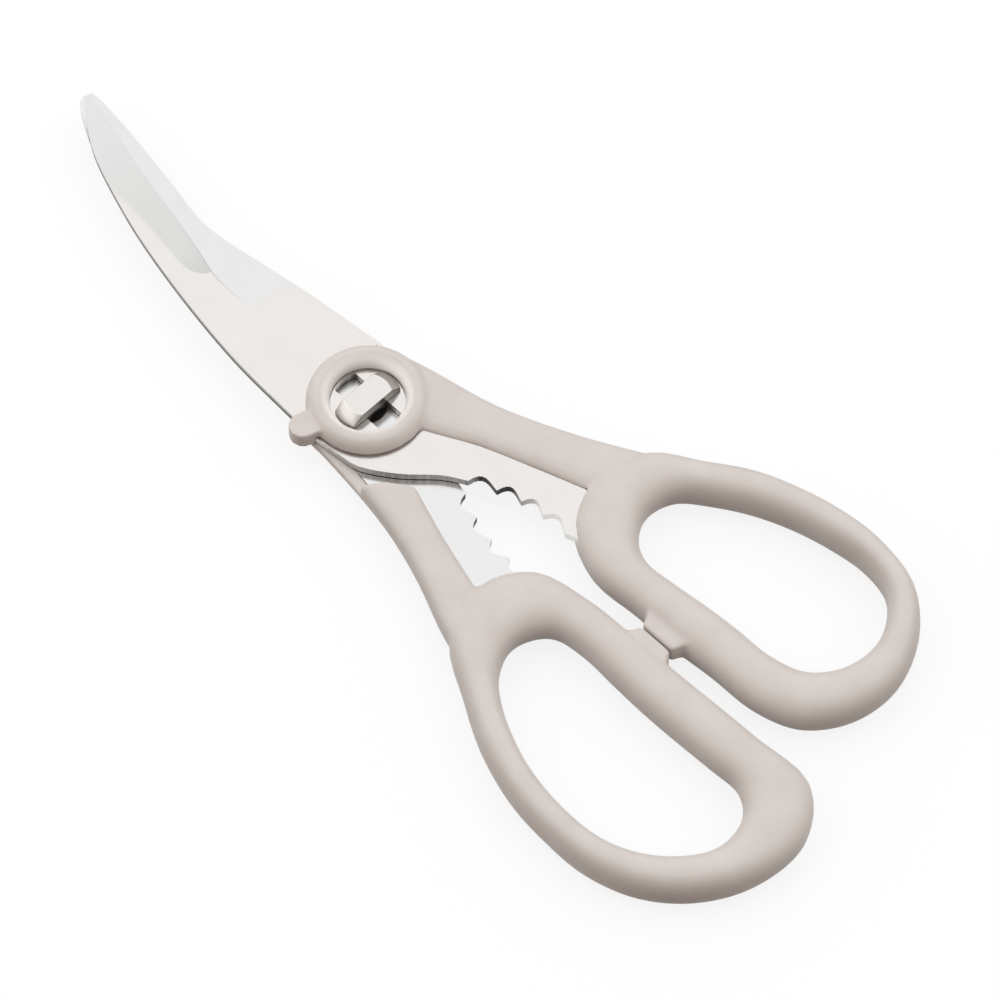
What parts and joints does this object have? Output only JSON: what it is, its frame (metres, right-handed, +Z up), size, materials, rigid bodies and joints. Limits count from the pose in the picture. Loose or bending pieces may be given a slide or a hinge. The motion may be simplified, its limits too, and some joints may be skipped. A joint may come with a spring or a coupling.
{
  "type": "seafood scissors",
  "caption": "Take-apart seafood scissors with curved steel blades, wavy cracker jaws behind a T-headed pivot, and matte moulded finger-loop handles.",
  "frame": {"origin": "on the pivot axis, at the flat face of the pin's riveted tail", "axes": "+X from the pivot to the tips of the closed blades, +Y towards the rear handle's loop, +Z up the pivot axis towards the T-head"},
  "size_m": [0.2168, 0.089, 0.0104],
  "materials": {
    "blade_steel": "satin polished",
    "pin_steel": "turned, satin",
    "handle_plastic": "matte moulded, greige"
  },
  "bodies": {
    "rear_half": {"rear_blade": "blade_steel", "rear_handle": "handle_plastic", "pivot_pin": "pin_steel"},
    "front_half": {"front_blade": "blade_steel", "front_handle": "handle_plastic"}
  },
  "joints": [
    {"name": "pivot", "type": "hinge", "parent": "rear_half", "child": "front_half", "pos_m": [0, 0, 0.0032], "axis": [0, 0, 1], "range_deg": [0, 90]}
  ]
}
